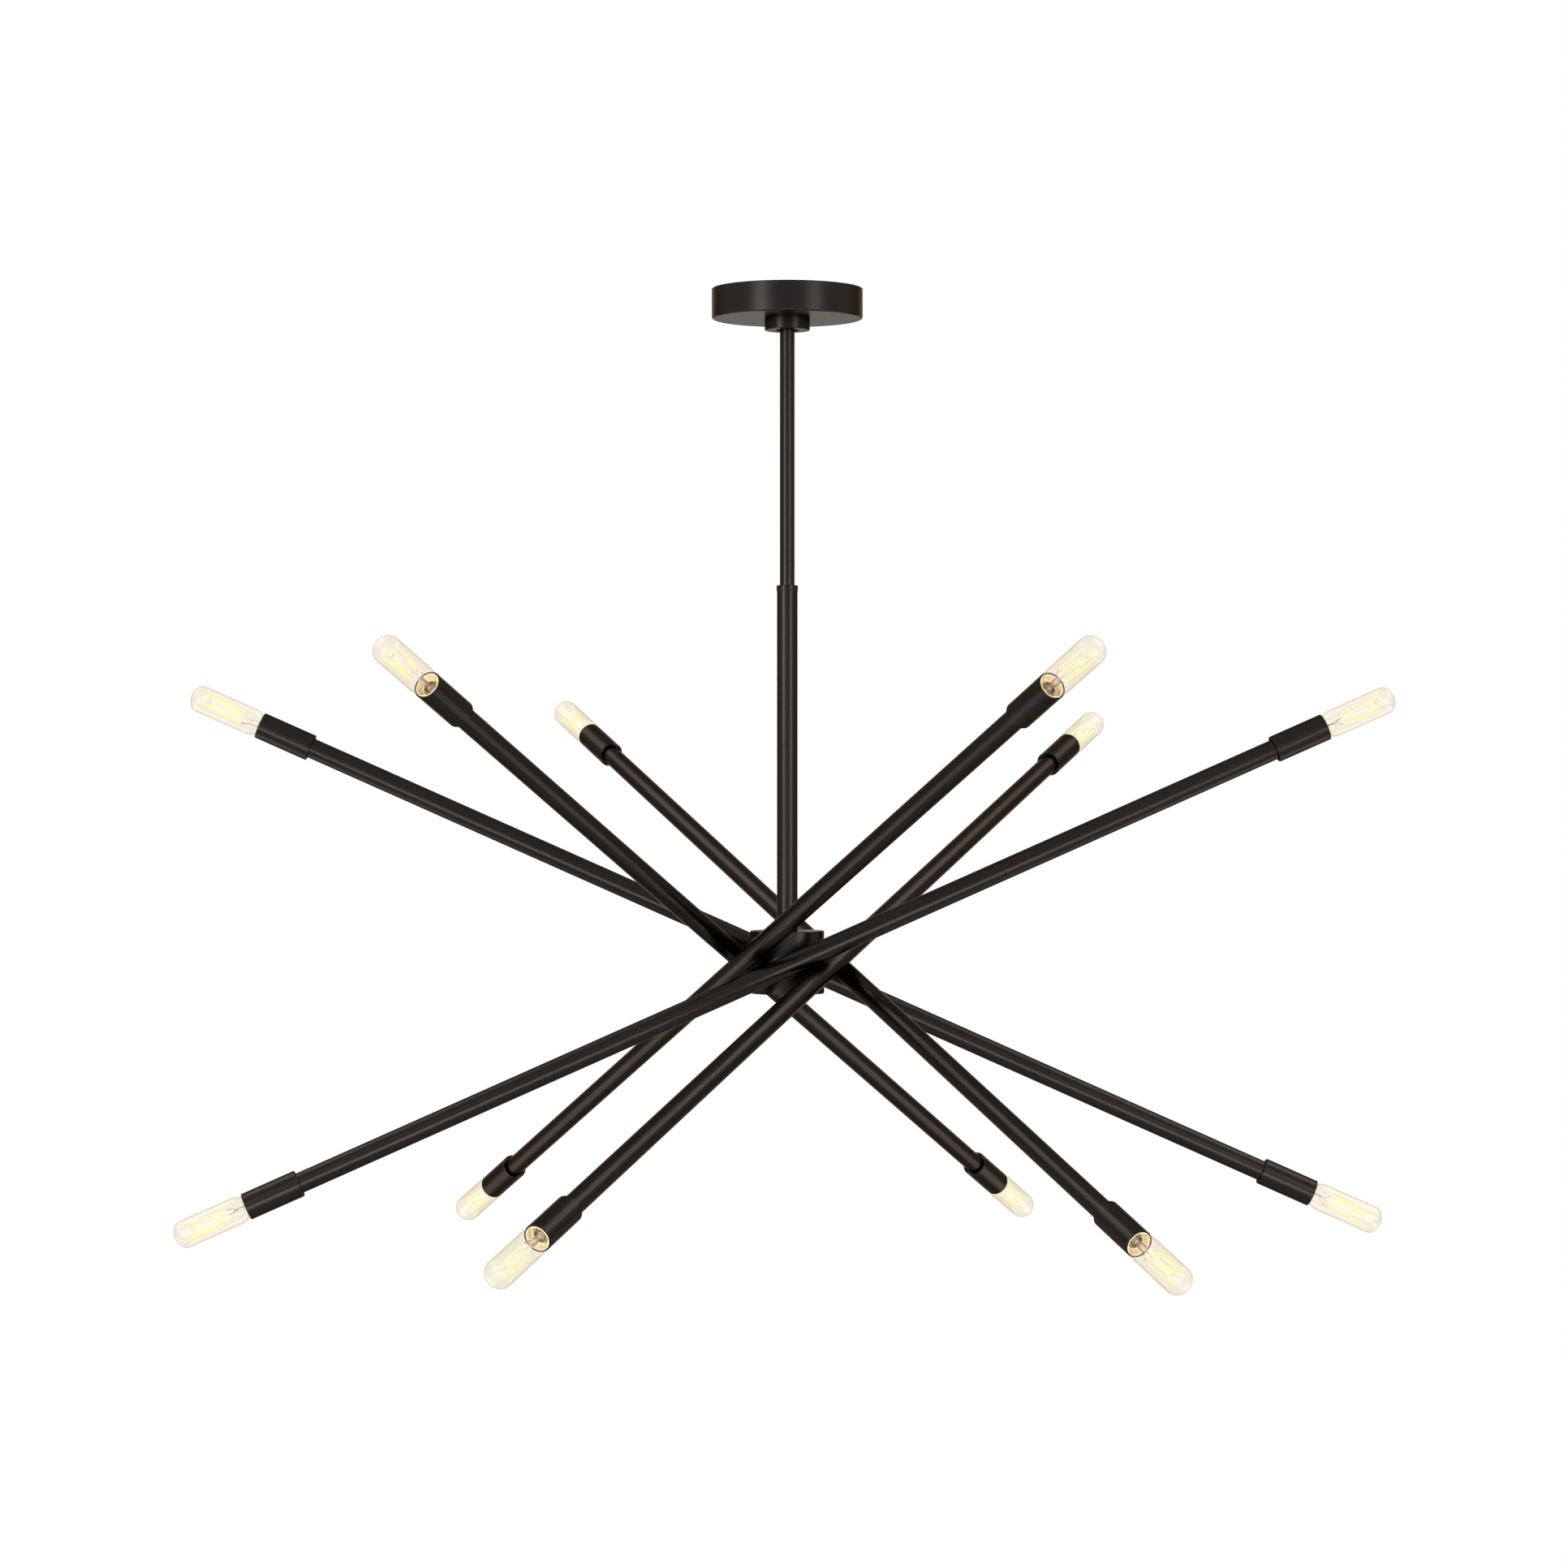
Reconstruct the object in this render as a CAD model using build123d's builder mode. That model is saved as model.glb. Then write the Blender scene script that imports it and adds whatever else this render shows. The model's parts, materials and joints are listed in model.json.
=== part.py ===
from build123d import *
from math import cos, radians, sin, sqrt
import os

# Sputnik chandelier: a shallow round canopy, a hang-straight swivel, a downrod in two lengths,
# a thicker stem tube, and a drum-shaped hub with six straight arms pivoted on its side.
# Each arm carries a tubular bulb at both ends.
# Millimetres, +Z up. The origin is on the ceiling plane, at the centre of the canopy's rim.

# ---- driving dimensions ----

# Canopy and the strap that hangs it on the ceiling box
canopy_d = 130.0
canopy_height = 25.7
canopy_wall = 1.2
canopy_edge_radius = 1.5
strap_length = 112.0
strap_width = 30.0
strap_thickness = 2.0
strap_drop = 6.0
strap_flat_half = 20.0
strap_slope_run = 4.0
strap_corner_radius = 5.0
box_screw_near = 69.85
box_screw_far = 88.9
box_slot_width = 4.8
ground_screw_d = 3.4
ground_screw_head_d = 7.0
ground_screw_head_height = 2.0
ground_screw_from_end = 6.4
ground_screw_across = 9.0

# Threaded hanger tube and the collar screwed on it from below
hanger_d = 27.0
hanger_bore = 21.0
hanger_flange_d = 34.0
hanger_flange_thickness = 2.0
hanger_web = 3.0
hanger_in_collar = 7.5
collar_d = 39.0
collar_height = 10.0
collar_chamfer = 0.6

# Hang-straight swivel: the stud turns in the hanger's web, and the fork tilts on the pin
stud_d = 10.1
stud_bore = 8.0
stud_head_d = 16.0
stud_head_height = 1.9
stud_neck_d = 14.0
stud_neck_height = 2.9
tongue_thickness = 5.0
tongue_width = 10.0
swivel_pin_d = 4.0
swivel_pin_below_neck = 7.0
fork_d = 16.0
fork_above_pin = 5.0
fork_slot_below_tongue = 1.0
fork_floor = 2.0
fork_stub_length = 12.0

# Downrods, stem tube and the ring between them
rod_d = 12.7
upper_rod_end = 175.5
lower_rod_end = 255.0
ring_d = 18.4
ring_height = 5.0
ring_spigot_length = 14.0
ring_stub_length = 12.0
ring_chamfer = 0.5
stem_d = 17.8
stem_wall = 1.3

# Hub
hub_top = 552.0
hub_d = 63.6
hub_height = 54.0
hub_wall = 6.0
hub_roof = 5.0
hub_cover_thickness = 3.0
hub_cover_spigot = 4.0
hub_edge_radius = 0.9

# Hollow threaded nipples and their nuts
thread_d = 10.0
thread_bore = 7.0
nut_across_flats = 14.0
nut_thickness = 3.0
nipple_past_nut = 1.5
round_nut_d = 12.8

# Arms: how far each hub hole stands from its even place round the hub, and how steeply each arm is set
arm_count = 6
arm_places = [(4.5, 23.75), (0.5, 22.25), (0.0, 23.5), (0.5, 24.0), (-2.5, 27.25), (2.5, 27.0)]
arm_d = 17.5
arm_wall = 1.3
arm_reach = 502.1
spacer_d = 14.0
spacer_gap_at_hub = 5.45

# Sleeve at each arm end
sleeve_d = 23.3
sleeve_wall = 1.2
sleeve_length = 48.5
sleeve_recess = 2.5
sleeve_web = 4.0
sleeve_chamfer = 0.4

# Lampholder inside the sleeve, with a pale insulating liner round it whose end shows in the mouth
liner_wall = 1.25
liner_below_mouth = 0.6
socket_below_mouth = 6.0
socket_floor = 4.0
socket_spigot_length = 9.0
socket_wire_bore = 4.0
screw_shell_bore = 12.4
screw_shell_wall = 0.4
contact_d = 5.0
contact_height = 1.2

# Tubular bulb, measured from the sleeve's mouth
bulb_d = 24.0
bulb_showing = 65.0
bulb_crown_radius = 15.0
bulb_corner_radius = 7.5
bulb_shoulder_rise = 8.3
bulb_wall = 0.7
bulb_neck_d = 10.2
bulb_neck_in_cap = 4.5
cap_below_mouth = 4.5
cap_d = 11.7
cap_thread_depth = 0.35
cap_thread_pitch = 2.54
cap_thread_turns = 5
cap_rim_height = 1.3
cap_wall = 0.3
cap_insulator_height = 2.0
cap_contact_d = 4.0
cap_contact_height = 1.0
lamp_stem_d = 4.0
lamp_stem_rise = 20.0
lamp_stem_flare_height = 1.0
lamp_stem_taper = 4.0

# Clearances
thread_gap = 0.05
turning_gap = 0.05
face_gap = 0.1
body_gap = 0.3
edge_margin = 0.1
canopy_hole_gap = 0.7
least_crossing_gap = 1.0

# ---- sizes that follow ----

ceiling = Plane.XY
thread_r = thread_d / 2
tapped_r = thread_r + thread_gap
canopy_floor = -canopy_height
collar_bottom = canopy_floor - collar_height

flange_bottom = -strap_drop
flange_top = flange_bottom + hanger_flange_thickness
web_bottom = flange_bottom - hanger_web
hanger_end = canopy_floor - hanger_in_collar

neck_top = web_bottom - face_gap
neck_bottom = neck_top - stud_neck_height
pin_height = neck_bottom - swivel_pin_below_neck
tongue_end_r = tongue_width / 2
fork_top = pin_height + fork_above_pin
fork_slot_bottom = pin_height - tongue_end_r - fork_slot_below_tongue
fork_bottom = fork_slot_bottom - fork_floor

ring_top = -lower_rod_end
ring_bottom = ring_top - ring_height
stem_r = stem_d / 2
stem_bore_r = stem_r - stem_wall

hub_r = hub_d / 2
hub_bore_r = hub_r - hub_wall
hub_bottom = -hub_top - hub_height
hub_ceiling = -hub_top - hub_roof
cover_top = hub_bottom + hub_cover_thickness
hub_middle = -hub_top - hub_height / 2

arm_r = arm_d / 2
arm_bore_r = arm_r - arm_wall
sleeve_r = sleeve_d / 2
sleeve_bore_r = sleeve_r - sleeve_wall

arm_settings = [
    (360.0 * i / arm_count + shift, tilt)
    for i, (shift, tilt) in enumerate(arm_places[:arm_count])
]


def outward(azimuth):
    # Unit vector from the hub's axis to an arm's pivot; azimuth 0 faces -Y and grows anticlockwise from above
    a = radians(azimuth)
    return Vector(sin(a), -cos(a), 0)


def along(azimuth, tilt):
    # Unit vector along an arm, towards its raised end
    a = radians(azimuth)
    t = radians(tilt)
    return Vector(cos(t) * cos(a), cos(t) * sin(a), sin(t))


def crossing_share(first, second):
    # Distance between the axes of two arms, as a share of their distance from the hub's axis
    normal = along(*first).cross(along(*second)).normalized()
    return abs((outward(first[0]) - outward(second[0])).dot(normal))


# Neighbouring arms cross without touching, and every arm clears the hub's side
closest_share = min(
    crossing_share(arm_settings[i], arm_settings[(i + 1) % arm_count])
    for i in range(arm_count)
)
arm_offset = max(
    hub_r + spacer_gap_at_hub + arm_r,
    (arm_d + least_crossing_gap) / closest_share,
)

# Flats that seat the spacers outside and the nuts inside the hub's round wall
spacer_seat = sqrt(hub_r**2 - (spacer_d / 2) ** 2) - edge_margin
spacer_end = arm_offset - arm_r - body_gap
nut_corner_r = nut_across_flats / sqrt(3)
nut_seat = hub_bore_r

# The nipple reaches from behind the nut into the arm, where a round nut keeps the arm on it
nipple_start = nut_seat - nut_thickness - nipple_past_nut
round_nut_r = min(round_nut_d / 2, arm_bore_r - 2 * body_gap)
round_nut_start = arm_offset - sqrt((arm_bore_r - body_gap) ** 2 - round_nut_r**2)
nipple_end = arm_offset - arm_wall / 2
nipple_length = nipple_end - nipple_start
stem_plug_length = nipple_length - nut_thickness - nipple_past_nut - hub_roof + 2 * arm_wall

liner_r = sleeve_bore_r - face_gap
liner_bore_r = liner_r - liner_wall
socket_r = liner_bore_r - face_gap
web_back = -sleeve_length + sleeve_recess
web_front = web_back + sleeve_web

cap_bottom = -cap_below_mouth - cap_rim_height - cap_thread_turns * cap_thread_pitch
cap_tip = cap_bottom - cap_insulator_height - cap_contact_height
contact_top = cap_tip - body_gap
socket_bottom = contact_top - contact_height
tube_end = socket_bottom - socket_floor
bulb_r = bulb_d / 2
bulb_neck_r = bulb_neck_d / 2


def turn(axis_plane, outline):
    # Turned piece: an outline of (radius, height) points, spun about the plane's normal
    section = Plane(axis_plane.origin, x_dir=axis_plane.x_dir, z_dir=-axis_plane.y_dir)
    with BuildSketch(section) as profile:
        with BuildLine():
            Polyline(*outline, close=True)
        make_face()
    revolve(profile.sketch, axis=Axis(axis_plane.origin, axis_plane.z_dir))


def tube_outline(outer_r, inner_r, low, high):
    return [(inner_r, low), (outer_r, low), (outer_r, high), (inner_r, high)]


def outer_edge(piece, level):
    # The largest circle on the lowest (0) or highest (-1) level of a turned piece
    rims = piece.edges().filter_by(GeomType.CIRCLE).group_by(Axis.Z)[level]
    return rims.sort_by(SortBy.RADIUS)[-1]


def pivot_plane(azimuth):
    # Plane through the hub's middle, square to an arm's pivot
    return Plane((0, 0, hub_middle), x_dir=(0, 0, 1), z_dir=outward(azimuth))


def end_plane(azimuth, tilt, side):
    # Plane at a sleeve's mouth, facing out along the arm; side is 1 at the raised end and -1 at the low end
    pivot = Vector(0, 0, hub_middle) + outward(azimuth) * arm_offset
    direction = along(azimuth, tilt) * side
    return Plane(pivot + direction * arm_reach, x_dir=outward(azimuth), z_dir=direction)


# ---- canopy ----

with BuildPart() as canopy_shell:
    hole_r = hanger_d / 2 + canopy_hole_gap
    rim_r = canopy_d / 2
    turn(
        ceiling,
        [
            (hole_r, canopy_floor),
            (rim_r, canopy_floor),
            (rim_r, 0),
            (rim_r - canopy_wall, 0),
            (rim_r - canopy_wall, canopy_floor + canopy_wall),
            (hole_r, canopy_floor + canopy_wall),
        ],
    )
    fillet(outer_edge(canopy_shell, 0), canopy_edge_radius)
    fillet(outer_edge(canopy_shell, -1), canopy_wall / 2)

slot_place = (box_screw_near + box_screw_far) / 4
slot_length = (box_screw_far - box_screw_near) / 2 + box_slot_width
ground_place = (strap_length / 2 - ground_screw_from_end, ground_screw_across)

with BuildPart() as mounting_strap:
    with BuildSketch(Plane.XZ):
        with BuildLine():
            Polyline(
                (0, -strap_drop),
                (strap_flat_half, -strap_drop),
                (strap_flat_half + strap_slope_run, 0),
                (strap_length / 2, 0),
                (strap_length / 2, -strap_thickness),
                (strap_flat_half + strap_slope_run + strap_thickness / 2, -strap_thickness),
                (strap_flat_half + strap_thickness / 2, -strap_drop - strap_thickness),
                (0, -strap_drop - strap_thickness),
                close=True,
            )
        make_face()
        mirror(about=Plane.YZ)
    extrude(amount=strap_width / 2, both=True)
    fillet(mounting_strap.edges().filter_by(Axis.Z), strap_corner_radius)
    with BuildSketch(ceiling):
        with Locations((slot_place, 0), (-slot_place, 0)):
            SlotOverall(slot_length, box_slot_width)
        with Locations(ground_place):
            Circle(ground_screw_d / 2)
    extrude(amount=-strap_thickness, mode=Mode.SUBTRACT)
    with BuildSketch(ceiling.offset(-strap_drop)):
        Circle(hanger_d / 2)
    extrude(amount=-strap_thickness, mode=Mode.SUBTRACT)

with BuildPart() as ground_screw:
    with BuildSketch(ceiling.offset(-strap_thickness)):
        with Locations(ground_place):
            Circle(ground_screw_head_d / 2)
    extrude(amount=-ground_screw_head_height)
    with BuildSketch(ceiling.offset(-strap_thickness)):
        with Locations(ground_place):
            Circle(ground_screw_d / 2)
    extrude(amount=strap_thickness - face_gap)
    with BuildSketch(ceiling.offset(-strap_thickness - ground_screw_head_height)):
        with Locations(ground_place):
            Rectangle(ground_screw_head_d, ground_screw_d / 4)
    extrude(amount=ground_screw_head_height / 2, mode=Mode.SUBTRACT)

with BuildPart() as hanger_tube:
    turn(
        ceiling,
        [
            (stud_d / 2 + turning_gap, flange_top),
            (hanger_flange_d / 2, flange_top),
            (hanger_flange_d / 2, flange_bottom),
            (hanger_d / 2, flange_bottom),
            (hanger_d / 2, hanger_end),
            (hanger_bore / 2, hanger_end),
            (hanger_bore / 2, web_bottom),
            (stud_d / 2 + turning_gap, web_bottom),
        ],
    )

with BuildPart() as canopy_collar:
    collar_r = collar_d / 2
    turn(
        ceiling,
        [
            (hanger_d / 2 + thread_gap, canopy_floor),
            (collar_r, canopy_floor),
            (collar_r, collar_bottom),
            (hanger_bore / 2, collar_bottom),
            (hanger_bore / 2, hanger_end - face_gap),
            (hanger_d / 2 + thread_gap, hanger_end - face_gap),
        ],
    )
    chamfer(outer_edge(canopy_collar, 0), collar_chamfer)

# ---- swivel ----

with BuildPart() as swivel_stud:
    head_bottom = flange_top + face_gap
    turn(
        ceiling,
        [
            (stud_bore / 2, head_bottom + stud_head_height),
            (stud_head_d / 2, head_bottom + stud_head_height),
            (stud_head_d / 2, head_bottom),
            (stud_d / 2, head_bottom),
            (stud_d / 2, neck_top),
            (stud_neck_d / 2, neck_top),
            (stud_neck_d / 2, neck_bottom),
            (stud_bore / 2, neck_bottom),
        ],
    )
    with BuildSketch(Plane.XZ):
        with Locations((0, (neck_top + pin_height) / 2)):
            Rectangle(tongue_width, neck_top - pin_height)
        with Locations((0, pin_height)):
            Circle(tongue_end_r)
    extrude(amount=tongue_thickness / 2, both=True)
    with BuildSketch(Plane.XZ):
        with Locations((0, pin_height)):
            Circle(swivel_pin_d / 2 + turning_gap)
    extrude(amount=tongue_thickness, both=True, mode=Mode.SUBTRACT)

with BuildPart() as swivel_fork:
    turn(
        ceiling,
        [
            (0, fork_top),
            (fork_d / 2, fork_top),
            (fork_d / 2, fork_bottom),
            (thread_r, fork_bottom),
            (thread_r, fork_bottom - fork_stub_length),
            (0, fork_bottom - fork_stub_length),
        ],
    )
    with BuildSketch(ceiling.offset(fork_slot_bottom)):
        Rectangle(fork_d, tongue_thickness + 2 * body_gap)
    extrude(amount=fork_top - fork_slot_bottom, mode=Mode.SUBTRACT)
    with BuildSketch(ceiling.offset(fork_slot_bottom)):
        Circle(thread_bore / 2)
    extrude(amount=-fork_floor - fork_stub_length, mode=Mode.SUBTRACT)
    with BuildSketch(Plane.XZ):
        with Locations((0, pin_height)):
            Circle(swivel_pin_d / 2)
    extrude(amount=fork_d, both=True, mode=Mode.SUBTRACT)

with BuildPart() as swivel_pin:
    with BuildSketch(Plane.XZ):
        with Locations((0, pin_height)):
            Circle(swivel_pin_d / 2)
    extrude(amount=(fork_d - swivel_pin_d / 4) / 2, both=True)

# ---- downrods, ring and stem tube ----

with BuildPart() as upper_downrod:
    turn(ceiling, tube_outline(rod_d / 2, tapped_r, -upper_rod_end, fork_bottom))

with BuildPart() as lower_downrod:
    turn(ceiling, tube_outline(rod_d / 2, tapped_r, ring_top, -upper_rod_end))

with BuildPart() as stem_ring:
    turn(
        ceiling,
        [
            (thread_bore / 2, ring_top + ring_stub_length),
            (thread_r, ring_top + ring_stub_length),
            (thread_r, ring_top),
            (ring_d / 2 - ring_chamfer, ring_top),
            (ring_d / 2, ring_top - ring_chamfer),
            (ring_d / 2, ring_bottom + ring_chamfer),
            (ring_d / 2 - ring_chamfer / 2, ring_bottom),
            (stem_bore_r, ring_bottom),
            (stem_bore_r, ring_bottom - ring_spigot_length),
            (thread_bore / 2, ring_bottom - ring_spigot_length),
        ],
    )

with BuildPart() as stem_tube:
    turn(
        ceiling,
        [
            (tapped_r, -hub_top),
            (stem_r, -hub_top),
            (stem_r, ring_bottom),
            (stem_bore_r, ring_bottom),
            (stem_bore_r, -hub_top + stem_plug_length),
            (tapped_r, -hub_top + stem_plug_length),
        ],
    )

# ---- hub ----

hub_pivots = [pivot_plane(azimuth) for azimuth, _ in arm_settings]

with BuildPart() as hub_body:
    turn(
        ceiling,
        [
            (tapped_r, -hub_top),
            (hub_r, -hub_top),
            (hub_r, cover_top),
            (hub_bore_r, cover_top),
            (hub_bore_r, hub_ceiling),
            (tapped_r, hub_ceiling),
        ],
    )
    fillet(outer_edge(hub_body, -1), hub_edge_radius)
    # flats for the spacers, cut from outside
    with BuildSketch(*[pivot.offset(spacer_seat) for pivot in hub_pivots]):
        Circle(spacer_d / 2 + edge_margin)
    extrude(amount=hub_r - spacer_seat, mode=Mode.SUBTRACT)
    # flats for the nuts, cut from inside
    with BuildSketch(*[pivot.offset(nut_seat - nut_thickness) for pivot in hub_pivots]):
        Circle(nut_corner_r + body_gap)
    extrude(amount=nut_thickness, mode=Mode.SUBTRACT)
    # holes for the nipples
    with BuildSketch(*[pivot.offset(nipple_start) for pivot in hub_pivots]):
        Circle(tapped_r)
    extrude(amount=hub_r - nipple_start, mode=Mode.SUBTRACT)

with BuildPart() as hub_cover:
    turn(
        ceiling,
        [
            (0, hub_bottom),
            (hub_r, hub_bottom),
            (hub_r, cover_top),
            (hub_bore_r - thread_gap, cover_top),
            (hub_bore_r - thread_gap, cover_top + hub_cover_spigot),
            (0, cover_top + hub_cover_spigot),
        ],
    )
    fillet(outer_edge(hub_cover, 0), hub_edge_radius)

# One nipple joins the downrods, one holds the stem tube on the hub, and one carries each arm
hub_nipple_foot = hub_ceiling - nut_thickness - nipple_past_nut
nipple_feet = [ceiling.offset(-upper_rod_end - nipple_length / 2), ceiling.offset(hub_nipple_foot)]
nipple_feet += [pivot.offset(nipple_start) for pivot in hub_pivots]

with BuildPart() as threaded_nipples:
    with BuildSketch(*nipple_feet):
        Circle(thread_r)
        Circle(thread_bore / 2, mode=Mode.SUBTRACT)
    extrude(amount=nipple_length)

nut_planes = [ceiling.offset(hub_ceiling - nut_thickness)]
nut_planes += [pivot.offset(nut_seat - nut_thickness) for pivot in hub_pivots]

with BuildPart() as lock_nuts:
    with BuildSketch(*nut_planes):
        RegularPolygon(nut_across_flats / 2, 6, major_radius=False)
        Circle(tapped_r, mode=Mode.SUBTRACT)
    extrude(amount=nut_thickness)

with BuildPart() as arm_spacers:
    with BuildSketch(*[pivot.offset(spacer_seat) for pivot in hub_pivots]):
        Circle(spacer_d / 2)
        Circle(tapped_r, mode=Mode.SUBTRACT)
    extrude(amount=spacer_end - spacer_seat)

with BuildPart() as round_nuts:
    with BuildSketch(*[pivot.offset(round_nut_start) for pivot in hub_pivots]):
        Circle(round_nut_r)
        Circle(tapped_r, mode=Mode.SUBTRACT)
    extrude(amount=nipple_end - round_nut_start)

fixed_pieces = {
    "canopy_shell": canopy_shell,
    "mounting_strap": mounting_strap,
    "ground_screw": ground_screw,
    "hanger_tube": hanger_tube,
    "canopy_collar": canopy_collar,
    "swivel_stud": swivel_stud,
    "swivel_fork": swivel_fork,
    "swivel_pin": swivel_pin,
    "upper_downrod": upper_downrod,
    "lower_downrod": lower_downrod,
    "stem_ring": stem_ring,
    "stem_tube": stem_tube,
    "hub_body": hub_body,
    "hub_cover": hub_cover,
    "threaded_nipples": threaded_nipples,
    "lock_nuts": lock_nuts,
    "arm_spacers": arm_spacers,
    "round_nuts": round_nuts,
}


# ---- arms ----


def make_tube(azimuth, tilt):
    # Straight arm tube, with one hole in its side for the nipple it turns on
    mouth = end_plane(azimuth, tilt, 1)
    half = arm_reach + tube_end
    with BuildPart() as tube:
        turn(mouth, tube_outline(arm_r, arm_bore_r, tube_end - 2 * half, tube_end))
        with BuildSketch(pivot_plane(azimuth).offset(spacer_end)):
            Circle(thread_r + turning_gap)
        extrude(amount=arm_offset - spacer_end, mode=Mode.SUBTRACT)
    return tube


def make_sleeves(mouths):
    # Sleeve with a web that sits on the arm tube, a shallow recess behind it and chamfered ends
    back = -sleeve_length
    with BuildPart() as sleeves:
        for mouth in mouths:
            turn(
                mouth,
                [
                    (arm_r, web_back),
                    (sleeve_bore_r, web_back),
                    (sleeve_bore_r, back),
                    (sleeve_r - sleeve_chamfer, back),
                    (sleeve_r, back + sleeve_chamfer),
                    (sleeve_r, -sleeve_chamfer),
                    (sleeve_r - sleeve_chamfer, 0),
                    (sleeve_bore_r, 0),
                    (sleeve_bore_r, web_front),
                    (arm_r, web_front),
                ],
            )
    return sleeves


def make_sockets(mouths):
    # Lampholder: insulating body with a spigot in the tube's end, screw shell, centre contact and liner
    shell_r = screw_shell_bore / 2 + screw_shell_wall
    shell_bore_r = screw_shell_bore / 2
    shell_top = -socket_below_mouth - screw_shell_wall
    with BuildPart() as sockets:
        for mouth in mouths:
            turn(
                mouth,
                [
                    (socket_wire_bore / 2, tube_end - socket_spigot_length),
                    (arm_bore_r, tube_end - socket_spigot_length),
                    (arm_bore_r, tube_end),
                    (socket_r, tube_end),
                    (socket_r, -socket_below_mouth),
                    (shell_r, -socket_below_mouth),
                    (shell_r, socket_bottom),
                    (socket_wire_bore / 2, socket_bottom),
                ],
            )
        for mouth in mouths:
            shell = tube_outline(shell_r - thread_gap, shell_bore_r, socket_bottom + face_gap, shell_top)
            turn(mouth, shell)
            turn(
                mouth,
                [
                    (0, socket_bottom + face_gap),
                    (contact_d / 2, socket_bottom + face_gap),
                    (contact_d / 2, contact_top),
                    (0, contact_top),
                ],
            )
            turn(mouth, tube_outline(liner_r, liner_bore_r, web_front, -liner_below_mouth))
    return sockets


# ---- bulbs ----


def arc_about(center, start, end):
    # Short circular arc from start to end about a centre
    middle = Vector(*center)
    first = Vector(*start) - middle
    last = Vector(*end) - middle
    halfway = middle + (first + last).normalized() * first.length
    ThreePointArc(start, (halfway.X, halfway.Y), end)


def envelope_side(inset, neck_r, neck_end):
    # Half outline of the glass: narrow neck, round shoulder, straight side, rounded corner and shallow crown.
    # The inset is the wall's thickness on the inner face. Returns where the outline meets the axis.
    side_r = bulb_r - inset
    corner_r = bulb_corner_radius - inset
    crown_r = bulb_crown_radius - inset
    corner_x = side_r - corner_r
    between = crown_r - corner_r
    crown_z = bulb_showing - bulb_crown_radius
    corner_z = crown_z + sqrt(between**2 - corner_x**2)
    seam = (crown_r * corner_x / between, crown_z + crown_r * (corner_z - crown_z) / between)
    shoulder_foot = (neck_r, bulb_shoulder_rise - sqrt(side_r**2 - neck_r**2))
    shoulder_top = (side_r, bulb_shoulder_rise)
    Line((neck_r, neck_end), shoulder_foot)
    arc_about((0, bulb_shoulder_rise), shoulder_foot, shoulder_top)
    Line(shoulder_top, (side_r, corner_z))
    arc_about((corner_x, corner_z), (side_r, corner_z), seam)
    arc_about((0, crown_z), seam, (0, crown_z + crown_r))
    return crown_z + crown_r


def make_glass(mouth):
    # Clear envelope open at its neck, with the glass lamp stem standing inside
    inner_neck_r = bulb_neck_r - bulb_wall
    neck_end = -cap_below_mouth - bulb_neck_in_cap
    section = Plane(mouth.origin, x_dir=mouth.x_dir, z_dir=-mouth.y_dir)
    with BuildPart() as glass:
        with BuildSketch(section) as profile:
            with BuildLine():
                outer_tip = envelope_side(0, bulb_neck_r, neck_end)
                inner_tip = envelope_side(bulb_wall, inner_neck_r, neck_end)
                Line((0, outer_tip), (0, inner_tip))
                Line((bulb_neck_r, neck_end), (inner_neck_r, neck_end))
            make_face()
        revolve(profile.sketch, axis=Axis(mouth.origin, mouth.z_dir))
        flare_r = inner_neck_r - face_gap
        turn(
            mouth,
            [
                (0, neck_end),
                (flare_r, neck_end),
                (flare_r, neck_end + lamp_stem_flare_height),
                (lamp_stem_d / 2, neck_end + lamp_stem_flare_height + lamp_stem_taper),
                (lamp_stem_d / 2, lamp_stem_rise - lamp_stem_d / 4),
                (lamp_stem_d / 4, lamp_stem_rise),
                (0, lamp_stem_rise),
            ],
        )
    return glass


def make_cap(mouth):
    # Brass screw cap with a ring-shaped ridge for each turn of its thread, and the insulated centre contact
    crest_r = cap_d / 2
    root_r = crest_r - cap_thread_depth
    inner_r = root_r - cap_wall
    top = -cap_below_mouth
    thread_top = top - cap_rim_height
    outer = [(inner_r, top), (crest_r, top), (crest_r, thread_top)]
    for i in range(cap_thread_turns):
        valley = thread_top - (i + 0.5) * cap_thread_pitch
        crest = thread_top - (i + 1) * cap_thread_pitch
        outer += [(root_r, valley), (crest_r, crest)]
    outer[-1] = (root_r, cap_bottom)
    with BuildPart() as cap:
        turn(mouth, outer + [(inner_r, cap_bottom)])
        turn(
            mouth,
            [
                (0, cap_bottom + cap_wall),
                (inner_r - face_gap, cap_bottom + cap_wall),
                (inner_r - face_gap, cap_bottom - face_gap),
                (cap_contact_d / 2, cap_bottom - cap_insulator_height),
                (cap_contact_d / 2, cap_tip),
                (0, cap_tip),
            ],
        )
    return cap


arm_pieces = {}
for number, setting in enumerate(arm_settings, 1):
    raised = end_plane(*setting, 1)
    low = end_plane(*setting, -1)
    arm_pieces[f"arm_{number}_tube"] = make_tube(*setting)
    arm_pieces[f"arm_{number}_sleeves"] = make_sleeves([raised, low])
    arm_pieces[f"arm_{number}_sockets"] = make_sockets([raised, low])
    for end, mouth in (("raised", raised), ("low", low)):
        arm_pieces[f"bulb_{number}_{end}_glass"] = make_glass(mouth)
        arm_pieces[f"bulb_{number}_{end}_cap"] = make_cap(mouth)

os.makedirs("parts", exist_ok=True)
for name, piece in {**fixed_pieces, **arm_pieces}.items():
    piece.part.label = name
    export_step(piece.part, f"parts/{name}.step")
print(f"arm axes stand {arm_offset:.2f} mm from the hub's axis, swivel pin at {pin_height:.2f} mm")
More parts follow.
